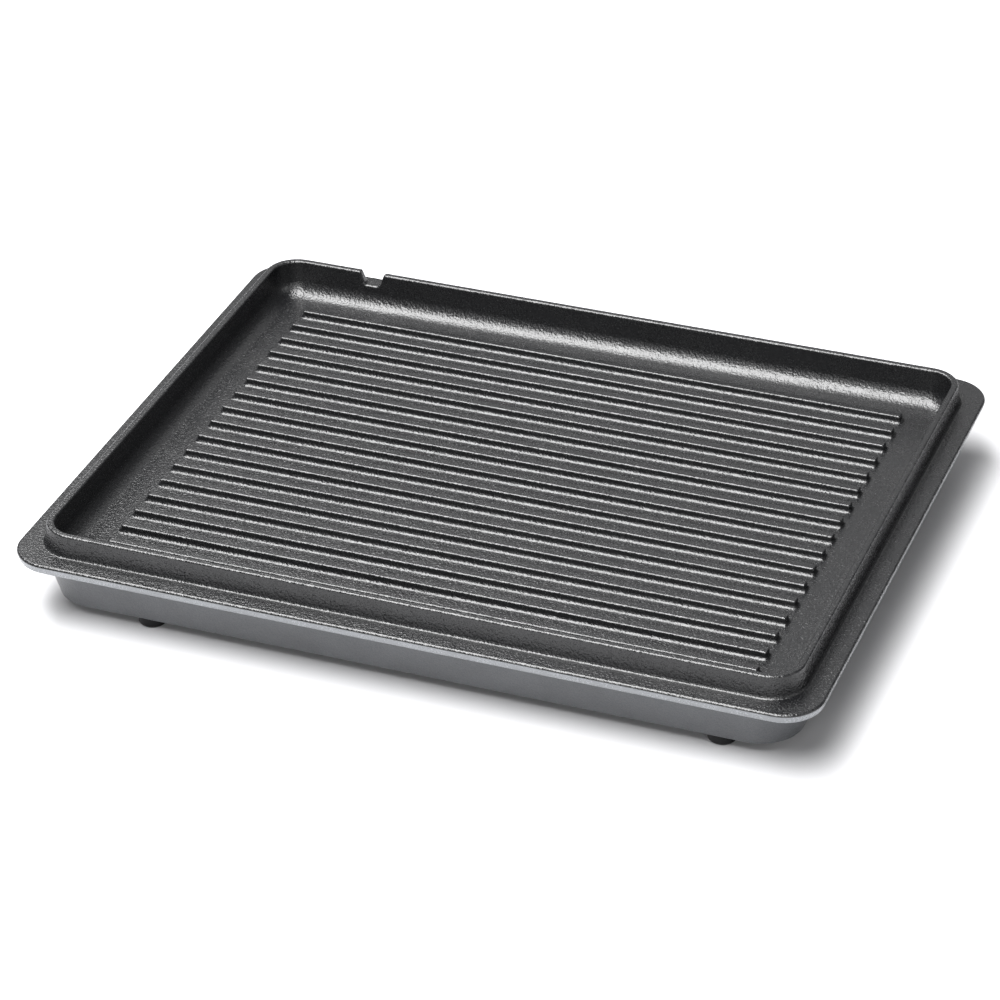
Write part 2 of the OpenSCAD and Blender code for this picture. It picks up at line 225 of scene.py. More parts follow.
def trimmed_edge(nt):
    """Two masks from the place alone: the upright edge of the flange, and all below the flange."""
    t = nt.nodes.new("ShaderNodeTexCoord")
    sep = nt.nodes.new("ShaderNodeSeparateXYZ")
    nt.links.new(t.outputs["Object"], sep.inputs["Vector"])
    qx = math_node(nt, "MAXIMUM", math_node(nt, "SUBTRACT", math_node(nt, "ABSOLUTE", sep.outputs["X"], 0), (HW - 19) * MM), 0)
    qy = math_node(nt, "MAXIMUM", math_node(nt, "SUBTRACT", math_node(nt, "ABSOLUTE", sep.outputs["Y"], 0), (HD - 19) * MM), 0)
    d2 = math_node(nt, "ADD", math_node(nt, "MULTIPLY", qx, qx), math_node(nt, "MULTIPLY", qy, qy))
    d = math_node(nt, "SQRT", d2, 0)
    out = map_range(nt, d, (19 - 1.25) * MM, (19 - 0.95) * MM, 0, 1)
    low = map_range(nt, sep.outputs["Z"], (FLANGE_LOW + 0.0) * MM, (FLANGE_LOW + 0.1) * MM, 0, 1)
    high = map_range(nt, sep.outputs["Z"], (FLANGE_TOP - 1.15) * MM, (FLANGE_TOP - 0.85) * MM, 1, 0)
    band = math_node(nt, "MULTIPLY", out, math_node(nt, "MULTIPLY", low, high))
    under = map_range(nt, sep.outputs["Z"], (FLANGE_LOW + 0.1) * MM, (FLANGE_LOW + 0.6) * MM, 1, 0)
    outside = map_range(nt, d, 4.0 * MM, 5.0 * MM, 0, 1)
    below = map_range(nt, sep.outputs["Z"], 22.9 * MM, 23.9 * MM, 1, 0)
    return band, math_node(nt, "MAXIMUM", math_node(nt, "MULTIPLY", under, outside), below)


def metal_material(name, color, rough, streak=(1, 1, 1), streak_scale=900, streak_amount=0.25, dark=0.75,
                   bump_strength=0.12, metallic=1.0):
    m, nt, b = new_material(name)
    vec = object_coords(nt, streak)
    fine = noise(nt, vec, streak_scale, 4.0, 0.6)
    vec2 = object_coords(nt)
    broad = noise(nt, vec2, 45, 4.0, 0.6)
    lo = tuple(c * dark for c in color)
    col = mix_color(nt, map_range(nt, fine, 0.3, 0.7, 0, 1), lo, color)
    stain = ramp(nt, broad, [(0.35, 0.8), (0.6, 1.0)])
    col = mix_color(nt, 1.0, col, stain, "MULTIPLY")
    nt.links.new(col, b.inputs["Base Color"])
    b.inputs["Metallic"].default_value = metallic
    r = math_node(nt, "ADD", map_range(nt, fine, 0.3, 0.7, rough - streak_amount / 2, rough + streak_amount / 2),
                  map_range(nt, broad, 0.3, 0.7, 0.06, -0.03))
    nt.links.new(r, b.inputs["Roughness"])
    bump(nt, b, fine, bump_strength, 0.00006)
    return m


def paint_material():
    """Fine-textured black heat-resistant paint on pressed sheet."""
    m, nt, b = new_material("cover_paint")
    vec = object_coords(nt)
    orange = noise(nt, vec, 900, 2.0, 0.5)
    fine = noise(nt, vec, 3000, 2.0, 0.5)
    dust = noise(nt, vec, 70, 5.0, 0.65)
    col = ramp(nt, dust, [(0.35, (0.018, 0.018, 0.019)), (0.75, (0.036, 0.036, 0.037))])
    nt.links.new(col, b.inputs["Base Color"])
    nt.links.new(map_range(nt, orange, 0.3, 0.7, 0.42, 0.62), b.inputs["Roughness"])
    h = math_node(nt, "ADD", orange, math_node(nt, "MULTIPLY", fine, 0.35))
    bump(nt, b, h, 0.35, 0.00008)
    return m


def plastic_material(name, color, rough_lo, rough_hi, grain, grain_strength, spec=0.5, coat=0.0):
    m, nt, b = new_material(name)
    vec = object_coords(nt)
    g = noise(nt, vec, grain, 3.0, 0.6)
    smudge = noise(nt, vec, 130, 4.0, 0.6)
    col = mix_color(nt, map_range(nt, smudge, 0.3, 0.7, 0, 1), color, tuple(c * 1.6 + 0.002 for c in color))
    nt.links.new(col, b.inputs["Base Color"])
    r = math_node(nt, "ADD", map_range(nt, g, 0.3, 0.7, rough_lo, rough_hi),
                  map_range(nt, smudge, 0.35, 0.7, 0.0, 0.08))
    nt.links.new(r, b.inputs["Roughness"])
    b.inputs["Specular IOR Level"].default_value = spec
    b.inputs["Coat Weight"].default_value = coat
    b.inputs["Coat Roughness"].default_value = 0.08
    bump(nt, b, g, grain_strength, 0.00005)
    return m


def ceramic_material():
    m, nt, b = new_material("terminal_ceramic")
    vec = object_coords(nt)
    g = noise(nt, vec, 1800, 4.0, 0.65)
    s = noise(nt, vec, 260, 3.0, 0.5)
    col = mix_color(nt, map_range(nt, s, 0.35, 0.7, 0, 1), (0.78, 0.73, 0.64), (0.66, 0.60, 0.50))
    pits = ramp(nt, g, [(0.28, 0.6), (0.36, 1.0)])
    nt.links.new(mix_color(nt, 1.0, col, pits, "MULTIPLY"), b.inputs["Base Color"])
    nt.links.new(map_range(nt, g, 0.3, 0.7, 0.5, 0.75), b.inputs["Roughness"])
    bump(nt, b, g, 0.3, 0.00006)
    return m


CAST = {"rough_lo": 0.19, "rough_hi": 0.30, "spec": 0.65, "bump": 1.0, "distance": 0.00026}
M_CAST = cast_material()
M_SHEATH = metal_material("element_sheath_steel", (0.20, 0.195, 0.17), 0.45, streak_scale=700, dark=0.6)
M_ZINC = metal_material("zinc_plated_steel", (0.60, 0.60, 0.57), 0.32, streak_scale=1600, dark=0.8)
M_PIN = metal_material("nickel_plated_pin", (0.72, 0.70, 0.65), 0.2, streak=(1, 6, 1), streak_scale=900, streak_amount=0.14)
M_SHEET = metal_material("bright_rolled_sheet", (0.74, 0.74, 0.73), 0.24, streak=(0.04, 1, 1), streak_scale=1800, streak_amount=0.16)
M_PAINT = paint_material()
M_PHENOLIC = plastic_material("phenolic_moulding", (0.017, 0.017, 0.018), 0.42, 0.6, 1500, 0.3)
M_FOOT = plastic_material("foot_gloss_plastic", (0.003, 0.003, 0.0034), 0.10, 0.2, 500, 0.06, 0.25, 0.1)
M_CERAMIC = ceramic_material()
M_BRASS = metal_material("contact_brass_strip", (0.78, 0.57, 0.26), 0.26, streak=(1, 0.1, 1), streak_scale=2000, dark=0.75)


# ------------------------------------------------------------------ mesh helpers

def make_object(name, verts_mm, faces, material, body=BODY, sharp=32.0, parts=None):
    me = bpy.data.meshes.new(name)
    v = np.asarray(verts_mm, float) * MM
    me.from_pydata([tuple(p) for p in v], [], [tuple(f) for f in faces])
    me.validate()
    me.update()
    ob = bpy.data.objects.new(name, me)
    scene.collection.objects.link(ob)
    me.materials.append(material)
    finish_shading(ob, sharp)
    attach(ob, body)
    return ob


def finish_shading(ob, sharp=32.0):
    """Smooth shading with sharp edges over an angle, and normals weighted by face area."""
    me = ob.data
    me.polygons.foreach_set("use_smooth", [True] * len(me.polygons))
    me.set_sharp_from_angle(angle=math.radians(sharp))
    w = ob.modifiers.new("weighted_normals", "WEIGHTED_NORMAL")
    w.mode = "FACE_AREA"
    w.weight = 90
    w.keep_sharp = True


class Build:
    """Collects vertices and faces in millimetres."""

    def __init__(self):
        self.v = []
        self.f = []

    def add_points(self, pts):
        i = len(self.v)
        self.v.extend([tuple(float(c) for c in p) for p in pts])
        return list(range(i, i + len(pts)))

    def bridge(self, a, b, closed=True):
        n = len(a)
        for i in range(n if closed else n - 1):
            j = (i + 1) % n
            self.f.append((a[i], a[j], b[j], b[i]))

    def cap(self, a, flip=False):
        self.f.append(tuple(reversed(a)) if flip else tuple(a))

    def lathe(self, profile, n=48, centre=(0, 0, 0), axis="Z", closed_profile=False):
        """Turns (radius, height) points round an axis. A first or last radius of 0 closes on the axis."""
        rings = []
        for r, h in profile:
            if r < 1e-6:
                pts = [(0, 0, h)]
            else:
                pts = [(r * math.cos(2 * math.pi * k / n), r * math.sin(2 * math.pi * k / n), h) for k in range(n)]
            out = []
            for x, y, z in pts:
                if axis == "Z":
                    p = (x, y, z)
                elif axis in ("Y", "Y2"):
                    p = (x, z, -y)
                else:
                    p = (z, x, y)
                out.append((p[0] + centre[0], p[1] + centre[1], p[2] + centre[2]))
            rings.append(self.add_points(out))
        pairs = list(zip(rings[:-1], rings[1:]))
        if closed_profile:
            pairs.append((rings[-1], rings[0]))
        for a, b in pairs:
            if len(a) == 1 and len(b) == 1:
                continue
            if len(a) == 1:
                for k in range(n):
                    self.f.append((a[0], b[(k + 1) % n], b[k]))
            elif len(b) == 1:
                for k in range(n):
                    self.f.append((a[k], a[(k + 1) % n], b[0]))
            else:
                self.bridge(a, b)
        return rings


def arc(cx, cz, r, a0, a1, n):
    return [(cx + r * math.cos(math.radians(a0 + (a1 - a0) * k / n)),
             cz + r * math.sin(math.radians(a0 + (a1 - a0) * k / n))) for k in range(n + 1)]


# ------------------------------------------------------------------ ring stations of the casting

NC = 22                                   # steps in each corner
SIDE_Y = np.linspace(-112, 112, 57)
FRONT_X = np.linspace(-152, 152, 77)
REAR_LEFT = np.linspace(-152, NOTCH_X - 11, 5)
REAR_RIGHT = np.linspace(152, NOTCH_X + 11, 64)


def notch_outline():
    """Outline of the pouring notch in (x from its middle, z): from +x to -x, with its outward normal."""
    half, low, depth, r, rc = 6.2, 3.9, 6.9, 2.0, 1.2
    lean = math.atan((half - low) / depth)
    z0 = RIM_TOP - depth
    cx = low - r * (1 - math.sin(lean)) / math.cos(lean)
    deg = math.degrees(lean)
    side = arc(cx, z0 + r, r, -deg, -90, 9)          # from the side down to the bottom
    slope = math.pi / 2 - lean
    t = rc * math.tan(slope / 2)
    top = arc(half + t, RIM_TOP - rc, rc, 90, 90 + math.degrees(slope), 7)
    pts = [(11.0, RIM_TOP), (9.8, RIM_TOP), (8.7, RIM_TOP)] + top
    a, b = top[-1], side[0]
    pts += [(a[0] + (b[0] - a[0]) * k / 4, a[1] + (b[1] - a[1]) * k / 4) for k in (1, 2, 3)]
    pts += side + [(cx / 2, z0), (0, z0)]
    full = pts + [(-x, z) for x, z in reversed(pts[:-1])]
    out = []
    for i, (x, z) in enumerate(full):
        p, q = full[max(i - 1, 0)], full[min(i + 1, len(full) - 1)]
        dx, dz = q[0] - p[0], q[1] - p[1]
        L = math.hypot(dx, dz)
        out.append((x, z, dz / L, -dx / L))  # travelling towards -x, air is above
    return out


NOTCH = notch_outline()


def ring_stations():
    """Stations round a ring: (kind, value). Corners are by angle, the straights by place."""
    st = []
    for y in SIDE_Y:
        st.append(("right", y))
    for k in range(NC + 1):
        st.append(("corner", (0, 90.0 * k / NC)))
    for x in REAR_RIGHT[:-1]:
        st.append(("rear", x))
    for i in range(len(NOTCH)):
        st.append(("notch", i))
    for x in REAR_LEFT[::-1][1:]:
        st.append(("rear", x))
    for k in range(NC + 1):
        st.append(("corner", (1, 90 + 90.0 * k / NC)))
    for y in SIDE_Y[::-1]:
        st.append(("left", y))
    for k in range(NC + 1):
        st.append(("corner", (2, 180 + 90.0 * k / NC)))
    for x in FRONT_X:
        st.append(("front", x))
    for k in range(NC + 1):
        st.append(("corner", (3, 270 + 90.0 * k / NC)))
    return st


ST = ring_stations()


def ring(inset_c, r, z, notch=None):
    """Points of one ring. notch, if given, places the notch stations: notch(i) -> (x, offset from cy, z)."""
    cx, cy = HW - inset_c, HD - inset_c
    cc = [(cx, cy), (-cx, cy), (-cx, -cy), (cx, -cy)]
    pts = []
    for kind, v in ST:
        if kind == "right":
            pts.append((cx + r, v, z))
        elif kind == "left":
            pts.append((-cx - r, v, z))
        elif kind == "front":
            pts.append((v, -cy - r, z))
        elif kind == "rear":
            pts.append((v, cy + r, z))
        elif kind == "notch":
            if notch is None:
                pts.append((NOTCH_X + NOTCH[v][0], cy + r, z))
            else:
                x, dr, zz = notch(v)
                pts.append((x, cy + dr, zz))
        else:
            k, a = v
            pts.append((cc[k][0] + r * math.cos(math.radians(a)), cc[k][1] + r * math.sin(math.radians(a)), z))
    return pts


# ------------------------------------------------------------------ the casting

def build_casting():
    B = Build()
    e = 1.0
    f = 8.0
    wall_x = 12.0                          # inner wall at the rim's top
    floor_x = wall_x - 0.5
    land_x = RIM_C - 11.5
    base_x = land_x + 1.3
    z_in0, z_in1 = FLOOR_Z + f, RIM_TOP - e
    z_out1 = RIM_TOP - e

    def inner_at(z):
        return floor_x + (wall_x - floor_x) * (z - z_in0) / (z_in1 - z_in0)

    def outer_at(z):
        return base_x + (land_x - base_x) * (z - FLANGE_TOP) / (z_out1 - FLANGE_TOP)

    rings = []

    def plain(c, r, z):
        rings.append(B.add_points(ring(c, r, z)))

    # basin floor edge and fillet
    floor_ring_pts = ring(RIM_C, floor_x - f, FLOOR_Z)
    rings.append(B.add_points(floor_ring_pts))
    for r, z in arc(floor_x - f, z_in0, f, -90, 0, 16)[1:]:
        plain(RIM_C, r, z)

    # walls: from the base row to the row under the rounding, which follows the notch's outline
    def wall_row(at, t, z0, z1):
        """Row a part t of the way up a wall between z0 and the rounding."""
        def notch(i):
            x, z, nx, nz = NOTCH[i]
            xe, ze = x - nx * e, z - nz * e
            zz = z0 + (ze - z0) * t
            return NOTCH_X + x + (xe - x) * t, at(zz), zz
        zz = z0 + (z1 - z0) * t
        rings.append(B.add_points(ring(RIM_C, at(zz), zz, notch)))

    for t in (0.25, 0.5, 0.75, 1.0):
        wall_row(inner_at, t, z_in0, z_in1)

    # inner rounding, land, outer rounding
    def top_row(w, at, dr):
        """w below the top surface along its normal, dr across from the wall's line."""
        def notch(i):
            x, z, nx, nz = NOTCH[i]
            zz = z - nz * w
            return NOTCH_X + x - nx * w, at(z - nz * e) + dr, zz
        rings.append(B.add_points(ring(RIM_C, at(RIM_TOP - e) + dr, RIM_TOP - w, notch)))

    for k in range(1, 9):
        th = math.radians(90 * k / 8)
        top_row(e * (1 - math.sin(th)), inner_at, e * (1 - math.cos(th)))
    # land: between the two roundings
    def land_row(t):
        def notch(i):
            x, z, nx, nz = NOTCH[i]
            a = inner_at(z - nz * e) + e
            b = outer_at(z - nz * e) - e
            return NOTCH_X + x, a + (b - a) * t, z
        a = inner_at(RIM_TOP - e) + e
        b = outer_at(RIM_TOP - e) - e
        rings.append(B.add_points(ring(RIM_C, a + (b - a) * t, RIM_TOP, notch)))
    land_row(0.5)
    for k in range(8, -1, -1):
        th = math.radians(90 * k / 8)
        top_row(e * (1 - math.sin(th)), outer_at, -e * (1 - math.cos(th)))
    jf = 1.2
    for t in (0.75, 0.5, 0.25, 0.0):
        wall_row(outer_at, t, FLANGE_TOP + jf, z_out1)
    # junction with the flange
    for r, z in arc(base_x + jf, FLANGE_TOP + jf, jf, 180, 270, 7)[1:]:
        plain(RIM_C, r, z)
    # flange: top, rounded edge, drafted edge, lower rounding, underside
    fe = 1.2
    for r, z in arc(FLANGE_R - fe, FLANGE_TOP - fe, fe, 90, 0, 9):
        plain(FLANGE_R, r, z)
    le = 0.55
    low_r = FLANGE_R - 0.8
    plain(FLANGE_R, low_r + 0.8 * le / 3.2 + 0.05, FLANGE_LOW + le)
    for r, z in arc(low_r - le + 0.1, FLANGE_LOW + le, le, 0, -90, 5)[1:]:
        plain(FLANGE_R, r, z)
    # skirt with a fillet under the flange
    sk0, sk1 = SKIRT_C - 13.4, SKIRT_C - 7.0
    slope = (sk1 - sk0) / (FLANGE_LOW - SKIRT_Z)

    def skirt_at(z):
        return sk0 + slope * (z - SKIRT_Z)
    sf = 1.4
    for r, z in arc(skirt_at(FLANGE_LOW - sf) + sf, FLANGE_LOW - sf, sf, 90, 180, 6):
        plain(SKIRT_C, r, z)
    for z in (22.5, 18.0, 13.5, 10.0):
        plain(SKIRT_C, skirt_at(z), z)
    be = 0.9
    for r, z in arc(skirt_at(SKIRT_Z + be) - be, SKIRT_Z + be, be, 0, -90, 6):
        plain(SKIRT_C, r, z)
    st = 4.0
    for r, z in arc(skirt_at(SKIRT_Z + 0.6) - st + 0.6, SKIRT_Z + 0.6, 0.6, -90, -180, 4):
        plain(SKIRT_C, r, z)
    zt = UNDER_Z + 4.6
    for z in (12.0, 18.0, 23.0, zt):
        plain(SKIRT_C, skirt_at(z) - st, z)
    plain(SKIRT_C, SKIRT_C - 13, zt)
    plain(SKIRT_C, SKIRT_C - 20, UNDER_Z)
    for a, b in zip(rings[:-1], rings[1:]):
        B.bridge(a, b)
    B.cap(rings[-1])

    # ribs
    count, pitch, width, height, length = 17, 14.25, 4.5, 3.6, 310.0
    rc, rf, re = 1.0, 1.8, 0.8
    xs = np.linspace(-length / 2 + 4, length / 2 - 4, 76)
    na = 6

    def rib_loop(yc, off, z):
        """Rounded rectangle round a rib; off is the distance out from the corner centres."""
        hx, hy = length / 2 - rc, width / 2 - rc
        p = []
        for k in range(na + 1):
            a = math.radians(-90 + 90 * k / na)
            p.append((hx + off * math.cos(a), yc - hy + off * math.sin(a), z))
        for k in range(na + 1):
            a = math.radians(90 * k / na)
            p.append((hx + off * math.cos(a), yc + hy + off * math.sin(a), z))
        for x in xs[::-1]:
            p.append((x, yc + hy + off, z))
        for k in range(na + 1):
            a = math.radians(90 + 90 * k / na)
            p.append((-hx + off * math.cos(a), yc + hy + off * math.sin(a), z))
        for k in range(na + 1):
            a = math.radians(180 + 90 * k / na)
            p.append((-hx + off * math.cos(a), yc - hy + off * math.sin(a), z))
        for x in xs:
            p.append((x, yc - hy - off, z))
        return p

    profile = arc(rc + rf, FLOOR_Z + rf, rf, 270, 180, 7)
    top = FLOOR_Z + height
    profile += arc(rc - re, top - re, re, 0, 90, 7)
    bases = []
    nx = len(xs)
    for i in range(count):
        yc = (i - (count - 1) / 2) * pitch
        loops = []
        for r, z in profile:
            loops.append(B.add_points(rib_loop(yc, r, z)))
        bases.append(loops[0])
        for a, b in zip(loops[:-1], loops[1:]):
            B.bridge(a, b)
        t = loops[-1]
        # top: strips across, and a cap at each end
        up0 = 2 * (na + 1)                 # first straight point of the far side, going towards -x
        dn0 = up0 + nx + 2 * (na + 1)      # first straight point of the near side, going towards +x
        for k in range(nx - 1):
            B.f.append((t[dn0 + k], t[dn0 + k + 1], t[up0 + nx - 2 - k], t[up0 + nx - 1 - k]))
        B.f.append(tuple([t[dn0 + nx - 1]] + t[0:up0] + [t[up0]]))
        B.f.append(tuple([t[up0 + nx - 1]] + t[up0 + nx:dn0] + [t[dn0]]))

    # floor between the fillet and the ribs
    loops = [rings[0]] + bases
    pts, edges, ids = [], [], []
    for lp in loops:
        s = len(pts)
        for k, vi in enumerate(lp):
            pts.append(Vector((B.v[vi][0], B.v[vi][1])))
            ids.append(vi)
            edges.append((s + k, s + (k + 1) % len(lp)))
    # doubled points (corner steps of zero length) are welded by the triangulation
    vs, es, fs, ov, oe, of_ = delaunay_2d_cdt(pts, edges, [], 0, 1e-5, True)
    hx = length / 2 + rf
    hy = width / 2 + rf
    cx, cy, r0 = HW - RIM_C, HD - RIM_C, floor_x - f
    for tri in fs:
        c = sum((vs[k] for k in tri), Vector((0, 0))) / len(tri)
        dx, dy = max(abs(c.x) - cx, 0), max(abs(c.y) - cy, 0)
        if math.hypot(dx, dy) > r0 - 1e-6:
            continue
        row = round(c.y / pitch)
        row = max(-(count - 1) // 2, min((count - 1) // 2, row))
        dyy = abs(c.y - row * pitch)
        # inside this rib's footprint?
        qx, qy = abs(c.x) - (length / 2 - rc), dyy - (width / 2 - rc)
        d = math.hypot(max(qx, 0), max(qy, 0)) + min(max(qx, qy), 0)
        if d < rc + rf - 0.004:
            continue
        B.f.append(tuple(ids[ov[k][0]] for k in tri))

    me = bpy.data.meshes.new("casting")
    v = np.asarray(B.v, float) * MM
    me.from_pydata([tuple(p) for p in v], [], B.f)
    ob = bpy.data.objects.new("casting", me)
    scene.collection.objects.link(ob)
    import bmesh
    bm = bmesh.new()
    bm.from_mesh(me)
    bmesh.ops.remove_doubles(bm, verts=bm.verts, dist=2e-6)
    bmesh.ops.dissolve_degenerate(bm, dist=1e-7, edges=bm.edges)
    bmesh.ops.recalc_face_normals(bm, faces=bm.faces)
    open_edges = [ed for ed in bm.edges if len(ed.link_faces) != 2]
    print("casting: faces", len(bm.faces), "open or crossed edges", len(open_edges))
    bm.to_mesh(me)
    bm.free()

    # socket window in the rear skirt
    cut = Build()
    x0, x1, y0, y1, z0, z1 = -25, 25, 128, 152, 11.9, UNDER_Z - 0.02
    r = 1.2
    outline = []
    for cxx, czz, a in ((x1 - r, z0 + r, -90), (x1 - r, z1 - r, 0), (x0 + r, z1 - r, 90), (x0 + r, z0 + r, 180)):
        outline += arc(cxx, czz, r, a, a + 90, 5)
    a = cut.add_points([(x, y0, z) for x, z in outline])
    b = cut.add_points([(x, y1, z) for x, z in outline])
    cut.bridge(a, b)
    cut.cap(a)
    cut.cap(b, True)
    cme = bpy.data.meshes.new("window_cutter")
    cme.from_pydata([tuple(c * MM for c in p) for p in cut.v], [], cut.f)
    bm = bmesh.new()
    bm.from_mesh(cme)
    bmesh.ops.recalc_face_normals(bm, faces=bm.faces)
    bm.to_mesh(cme)
    bm.free()
    cob = bpy.data.objects.new("window_cutter", cme)
    scene.collection.objects.link(cob)
    mod = ob.modifiers.new("window", "BOOLEAN")
    mod.operation = "DIFFERENCE"
    mod.solver = "EXACT"
    mod.object = cob
    dg = bpy.context.evaluated_depsgraph_get()
    new = bpy.data.meshes.new_from_object(ob.evaluated_get(dg))
    ob.modifiers.clear()
    ob.data = new
    bpy.data.objects.remove(cob)
    new.name = "casting"

    # bosses, posts, pads and cradles under the floor, each a closed solid that runs into it
    D = Build()
    rim_pts = [(-127.5, -129.3), (144.0, -129.3), (-127.5, 129.3), (144.0, 129.3)]
    for x, y in rim_pts:
        D.lathe([(0, SKIRT_Z), (6.4, SKIRT_Z), (7, SKIRT_Z + 0.6), (7, FLOOR_Z - 0.4), (0, FLOOR_Z - 0.4)], 48, (x, y, 0))
    for x, y in ((158, 80), (-158, 80), (158, -80), (-158, -80), (-70, 120), (70, 120), (-70, -120), (70, -120)):
        D.lathe([(0, 9), (4.6, 9), (5, 9.4), (5, UNDER_Z + 1), (0, UNDER_Z + 1)], 40, (x, y, 0))
    for x, y in ((-50, 40), (50, 40), (-50, -65), (50, -65)):
        D.lathe([(0, UNDER_Z - 3), (5.6, UNDER_Z - 3), (6, UNDER_Z - 2.6), (6, UNDER_Z + 1), (0, UNDER_Z + 1)], 40, (x, y, 0))
    for s in (-1, 1):
        D.lathe([(0, UNDER_Z - 0.1), (4.5, UNDER_Z - 0.1), (4.5, UNDER_Z + 1), (0, UNDER_Z + 1)], 32, (s * 31, 125, 0))

    def block(x0, x1, y0, y1, z0, z1, turn=0, at=(0, 0)):
        c = 0.5
        co, si = math.cos(math.radians(turn)), math.sin(math.radians(turn))
        loops = []
        for i, z in ((c, z0), (0, z0 + c), (0, z1)):
            p = []
            for px, py, a in ((x1, y0, -90), (x1, y1, 0), (x0, y1, 90), (x0, y0, 180)):
                rr = 1.0
                ccx = px - rr if px == x1 else px + rr
                ccy = py - rr if py == y1 else py + rr
                for q in arc(ccx, ccy, rr - i, a, a + 90, 4):
                    p.append((at[0] + q[0] * co - q[1] * si, at[1] + q[0] * si + q[1] * co, z))
            loops.append(D.add_points(p))
        D.cap(loops[0], True)
        for u, w in zip(loops[:-1], loops[1:]):
            D.bridge(u, w)
        D.cap(loops[-1])
    for x, y, t in ((-128, -10, 0), (128, -10, 0), (-84, 12, 0), (84, 12, 0), (-60, -90, 90), (60, -90, 90)):
        block(-17, 17, -6, 6, TUBE_Z, UNDER_Z + 1, t, (x, y))
    block(-6, 6, 64, 119.4, 12.4, UNDER_Z + 1)
    dme = bpy.data.meshes.new("casting_bosses")
    dme.from_pydata([tuple(c * MM for c in p) for p in D.v], [], D.f)
    bm = bmesh.new()
    bm.from_mesh(ob.data)
    bm.from_mesh(dme)
    bmesh.ops.recalc_face_normals(bm, faces=bm.faces)
    bm.to_mesh(ob.data)
    bm.free()
    bpy.data.meshes.remove(dme)
    ob.data.materials.clear()
    ob.data.materials.append(M_CAST)
    finish_shading(ob, 32)
    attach(ob, BODY)
    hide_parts("grill_plate")
    return ob


casting = build_casting()

# ------------------------------------------------------------------ CAD nodes that keep their shape

def dress(name, material, bevel=0.0, angle=30):
    ob = nodes[name]
    ob.data.materials.clear()
    ob.data.materials.append(material)
    if bevel:
        b = ob.modifiers.new("edges", "BEVEL")
        b.width = bevel * MM
        b.segments = 2
        b.limit_method = "ANGLE"
        b.angle_limit = math.radians(angle)
        b.harden_normals = False
    return ob


dress("heating_element", M_SHEATH)
dress("terminal_pins", M_PIN)
dress("terminal_insulators", M_CERAMIC)
dress("element_clamps", M_ZINC)
dress("heat_reflector", M_SHEET)
dress("reflector_spacers", M_ZINC)
dress("earth_contact", M_BRASS)
dress("foot_washers", M_ZINC)

# ------------------------------------------------------------------ screws

def pan_screw(B, x, y, z0, z1, z2, R, rs, turn):
    """Pan-head screw pointing up, its domed face down, with a cross recess."""
    n = 72
    hl, hw_, depth = 0.55 * R, 0.42, 0.8
    H = z1 - z0
    co, si = math.cos(turn), math.sin(turn)

    def smooth(v):
        v = min(max(v, 0.0), 1.0)
        return v * v * (3 - 2 * v)

    def dome(r):
        u = r / R
        return 0.22 * u * u

    def recess(px, py):
        u, w = abs(px * co + py * si), abs(-px * si + py * co)
        a, b = max(u, w), min(u, w)
        d = smooth((hw_ - b) / 0.16 + 0.3) * smooth((hl - a) / 0.3)
        return depth * d * (1.0 - 0.35 * a / hl)
    radii = [0.14, 0.28, 0.38, 0.48, 0.6, 0.75, 0.9, 1.05, 1.2]
    while radii[-1] + 0.16 < 0.66 * R:
        radii.append(radii[-1] + 0.16)
    c = B.add_points([(x, y, z0 + recess(0, 0))])
    prev = None
    for r in radii:
        pts = []
        for k in range(n):
            a = 2 * math.pi * k / n
            px, py = r * math.cos(a), r * math.sin(a)
            pts.append((x + px, y + py, z0 + dome(r) + recess(px, py)))
        cur = B.add_points(pts)
        if prev is None:
            for k in range(n):
                B.f.append((c[0], cur[(k + 1) % n], cur[k]))
        else:
            B.bridge(cur, prev)
        prev = cur
    r_in = radii[-1]
    zi = dome(r_in)
    edge = H - 0.35 - zi
    prof = []
    for k in range(1, 8):
        th = math.radians(90 * k / 7)
        prof.append((r_in + (R - r_in) * math.sin(th), zi + edge * (1 - math.cos(th))))
    prof += [(R, H - 0.12), (R - 0.12, H), (rs, H), (rs, z2 - z0 - 0.5), (rs - 0.45, z2 - z0)]
    for r, h in prof:
        cur = B.add_points([(x + r * math.cos(2 * math.pi * k / n), y + r * math.sin(2 * math.pi * k / n), z0 + h) for k in range(n)])
        B.bridge(cur, prev)
        prev = cur
    B.cap(prev, True)


def screw_set(node, places, z0, z1, z2, R, rs):
    B = Build()
    for i, (x, y) in enumerate(places):
        pan_screw(B, x, y, z0, z1, z2, R, rs, (i * 137.5 + len(places) * 31) % 90 * math.pi / 180)
    ob = make_object(node + "_pan_head", B.v, B.f, M_ZINC, sharp=38)
    flip_out(ob)
    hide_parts(node)
    return ob


def flip_out(ob):
    """Turns all faces outward."""
    import bmesh
    bm = bmesh.new()
    bm.from_mesh(ob.data)
    bmesh.ops.recalc_face_normals(bm, faces=bm.faces)
    bm.to_mesh(ob.data)
    bm.free()


